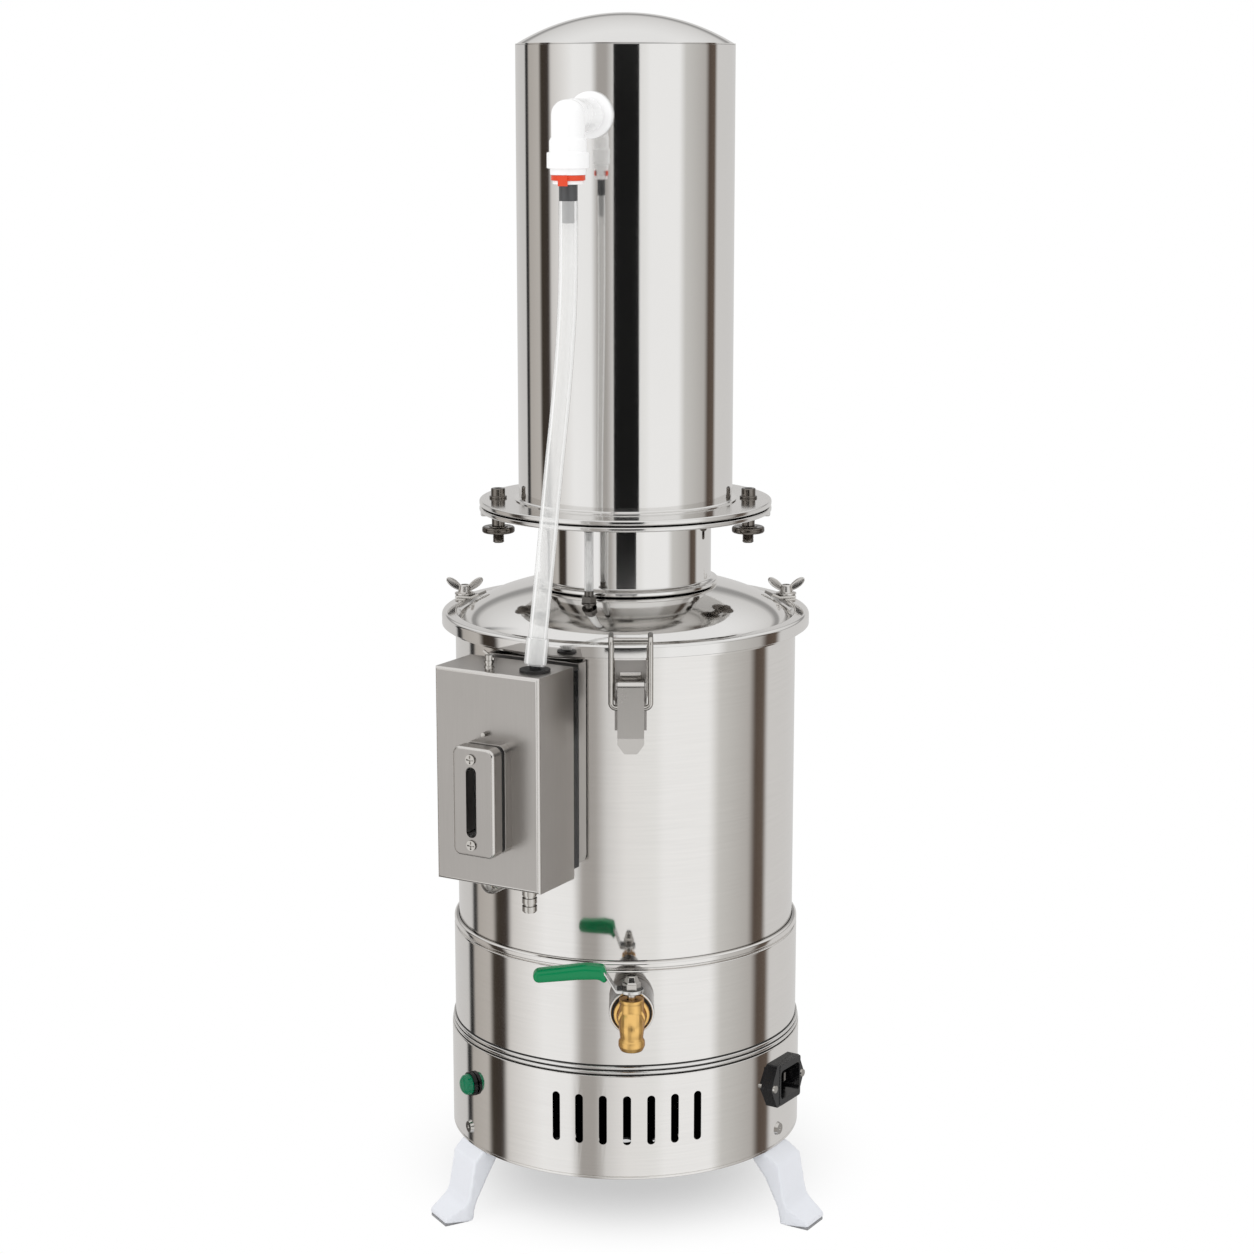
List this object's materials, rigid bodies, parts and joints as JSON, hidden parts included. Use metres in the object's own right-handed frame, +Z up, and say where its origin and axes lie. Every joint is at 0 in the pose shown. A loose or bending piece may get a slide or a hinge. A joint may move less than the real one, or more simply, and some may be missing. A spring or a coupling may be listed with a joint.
{
  "type": "water distiller",
  "caption": "Electric bench still: round steel boiler with latched domed lid and tap, tall round condenser above a flanged neck, side feed box with sight glass and a feed hose.",
  "frame": {"origin": "on the floor, at the centre of the circle through the three feet, on the axis of the boiler", "axes": "+Z up along the axis of the boiler and condenser; the front, with the tap and the latch, faces -Y; +X is to the right seen from the front"},
  "size_m": [0.2367, 0.2871, 0.7085],
  "materials": {
    "polished_steel": "polished stainless steel",
    "satin_steel": "brushed stainless steel",
    "fastener_steel": "plain turned steel",
    "brass": "plain turned brass",
    "white_paint": "white gloss powder coat",
    "white_plastic": "white moulded plastic",
    "grey_plastic": "grey moulded plastic",
    "dark_plastic": "black moulded plastic",
    "dark_rubber": "black rubber",
    "clear_hose": "translucent flexible hose",
    "orange_plastic": "orange-red moulded plastic",
    "green_plastic": "green moulded grip",
    "lamp_green": "green translucent lens",
    "sight_glass": "clear sight glass",
    "lagging": "pale mineral lagging"
  },
  "bodies": {
    "still": {"base_plate": "satin_steel", "base_shell": "polished_steel", "bleed_valve": "fastener_steel", "boiler_pot": "polished_steel", "box_bracket": "satin_steel", "box_pipes": "satin_steel", "box_spacer": "dark_plastic", "collet": "grey_plastic", "condensate_tray": "satin_steel", "condenser_cup": "satin_steel", "condenser_dome": "polished_steel", "condenser_shell": "polished_steel", "elbow_body": "white_plastic", "feed_box": "satin_steel", "feed_box_back": "satin_steel", "feet": "white_paint", "flange_bolts": "fastener_steel", "flange_gasket": "dark_rubber", "foot_pads": "dark_rubber", "heating_elements": "satin_steel", "hose": "clear_hose", "hose_port": "dark_rubber", "hose_sleeve": "clear_hose", "inlet_housing": "dark_plastic", "inlet_prongs": "brass", "jacket_band": "polished_steel", "joint_ring": "polished_steel", "lagging_ring": "lagging", "lamp_bezel": "dark_plastic", "lamp_lens": "lamp_green", "latch_base": "satin_steel", "lid": "polished_steel", "lid_clamps": "satin_steel", "lid_gasket": "dark_rubber", "locking_clip": "orange_plastic", "lower_flange": "polished_steel", "neck_tube": "polished_steel", "skirt_screws": "fastener_steel", "steam_baffle": "satin_steel", "tap_body": "brass", "tap_boss": "polished_steel", "terminal_block": "white_plastic", "upper_flange": "polished_steel", "vent_pipe": "dark_plastic", "water_inlet": "brass", "window_base": "satin_steel", "window_cover": "satin_steel", "window_glass": "sight_glass", "window_screws": "fastener_steel", "window_seal": "dark_rubber", "wiring": "dark_rubber"},
    "tap_handle": {"tap_stem": "brass", "tap_lever": "fastener_steel", "tap_grip": "green_plastic"},
    "latch_handle": {"latch_lever": "satin_steel"},
    "latch_loop": {"latch_bail": "polished_steel"},
    "wing_nut_l": {"wing_nut_left": "polished_steel"},
    "wing_nut_r": {"wing_nut_right": "polished_steel"},
    "disc_nut_l": {"disc_nut_left": "fastener_steel"},
    "disc_nut_r": {"disc_nut_right": "fastener_steel"}
  },
  "joints": [
    {"name": "tap_turn", "type": "hinge", "parent": "still", "child": "tap_handle", "pos_m": [0.0035, -0.1408, 0.156], "axis": [0, 0, 1], "range_deg": [0, 90]},
    {"name": "latch_open", "type": "hinge", "parent": "still", "child": "latch_handle", "pos_m": [0.003, -0.1106, 0.3388], "axis": [-1, 0, 0], "range_deg": [0, 90]},
    {"name": "latch_loop_swing", "type": "hinge", "parent": "latch_handle", "child": "latch_loop", "pos_m": [0.003, -0.1116, 0.3268], "axis": [-1, 0, 0], "range_deg": [-64.8, 0]},
    {"name": "wing_nut_left_turn", "type": "hinge", "parent": "still", "child": "wing_nut_l", "pos_m": [-0.09782, 0.0356, 0.367], "axis": [0, 0, 1], "continuous": true},
    {"name": "wing_nut_right_turn", "type": "hinge", "parent": "still", "child": "wing_nut_r", "pos_m": [0.09782, 0.0356, 0.367], "axis": [0, 0, 1], "continuous": true},
    {"name": "disc_nut_left_turn", "type": "hinge", "parent": "still", "child": "disc_nut_l", "pos_m": [-0.0753, 0, 0.409], "axis": [0, 0, 1], "continuous": true},
    {"name": "disc_nut_right_turn", "type": "hinge", "parent": "still", "child": "disc_nut_r", "pos_m": [0.0727, 0, 0.409], "axis": [0, 0, 1], "continuous": true}
  ],
  "couplings": [
    {"joint": "latch_loop_swing", "follows": "latch_open", "ratio": -0.72}
  ]
}
